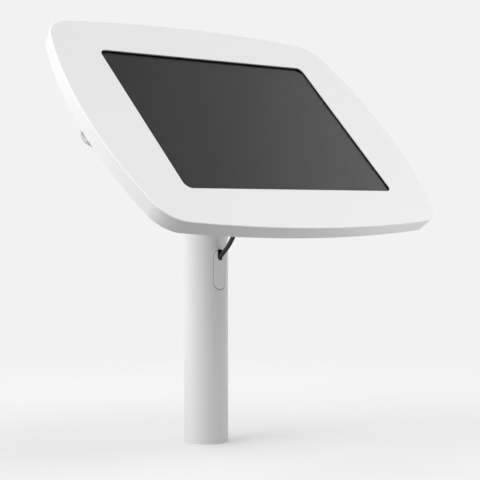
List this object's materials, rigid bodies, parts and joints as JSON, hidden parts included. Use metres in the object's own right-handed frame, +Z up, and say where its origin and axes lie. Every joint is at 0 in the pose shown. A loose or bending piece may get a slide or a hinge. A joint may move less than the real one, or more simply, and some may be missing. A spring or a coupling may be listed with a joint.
{
  "type": "tablet kiosk desk stand",
  "caption": "Desk stand for a tablet: a locked white case with a screen opening, tilted on a bent round column, with a charging lead that enters the column through a notched port.",
  "frame": {"origin": "centre of the column foot on the desk, which is the centre of its bolt pattern", "axes": "+Z up along the column, -Y towards the person at the screen, +X to the right of the screen"},
  "size_m": [0.3468, 0.1903, 0.3766],
  "materials": {
    "white_shell": "satin white",
    "white_paint": "satin white powder coat",
    "steel": "plain zinc-plated steel",
    "lock_metal": "satin nickel",
    "tablet_metal": "bead-blasted grey",
    "black_border": "gloss black under glass",
    "display": "switched-off panel",
    "glass": "polished",
    "soft_black": "matte",
    "foam": "closed-cell foam",
    "lead_jacket": "satin black",
    "plug_black": "fine matte black"
  },
  "bodies": {
    "root": {"rear_housing": "white_shell", "column_tube": "white_paint", "arm_flange": "white_paint", "hub_plate": "steel", "hub_screws": "steel", "foot_insert": "steel", "corner_cradles": "soft_black", "edge_pads": "foam", "outlet_boot": "soft_black", "lead_clips": "plug_black", "tablet_body": "tablet_metal", "tablet_bezel": "black_border", "tablet_display": "display", "tablet_glass": "glass", "charging_lead": "lead_jacket", "tablet_plug": "plug_black", "end_plug": "plug_black", "lock_barrel_left": "lock_metal", "lock_nut_left": "lock_metal", "lock_barrel_right": "lock_metal", "lock_nut_right": "lock_metal"},
    "cover": {"front_cover": "white_shell", "cover_keepers": "steel", "keeper_screws": "steel"},
    "lock_left": {"lock_plug_left": "lock_metal", "lock_cam_left": "steel", "cam_screw_left": "lock_metal"},
    "lock_right": {"lock_plug_right": "lock_metal", "lock_cam_right": "steel", "cam_screw_right": "lock_metal"},
    "port_plug": {"port_cover": "white_shell"}
  },
  "joints": [
    {"name": "cover_lift", "type": "slide", "parent": "root", "child": "cover", "axis": [0, -0.7071, 0.7071], "range_m": [0, 0.08]},
    {"name": "lock_left_turn", "type": "hinge", "parent": "root", "child": "lock_left", "pos_m": [-0.1621, -0.04536, 0.27136], "axis": [-1, 0, 0], "range_deg": [0, 90]},
    {"name": "lock_right_turn", "type": "hinge", "parent": "root", "child": "lock_right", "pos_m": [0.1621, -0.04536, 0.27136], "axis": [-1, 0, 0], "range_deg": [0, 90]},
    {"name": "port_cover_pull", "type": "slide", "parent": "root", "child": "port_plug", "axis": [0, -1, 0], "range_m": [0, 0.03]}
  ]
}
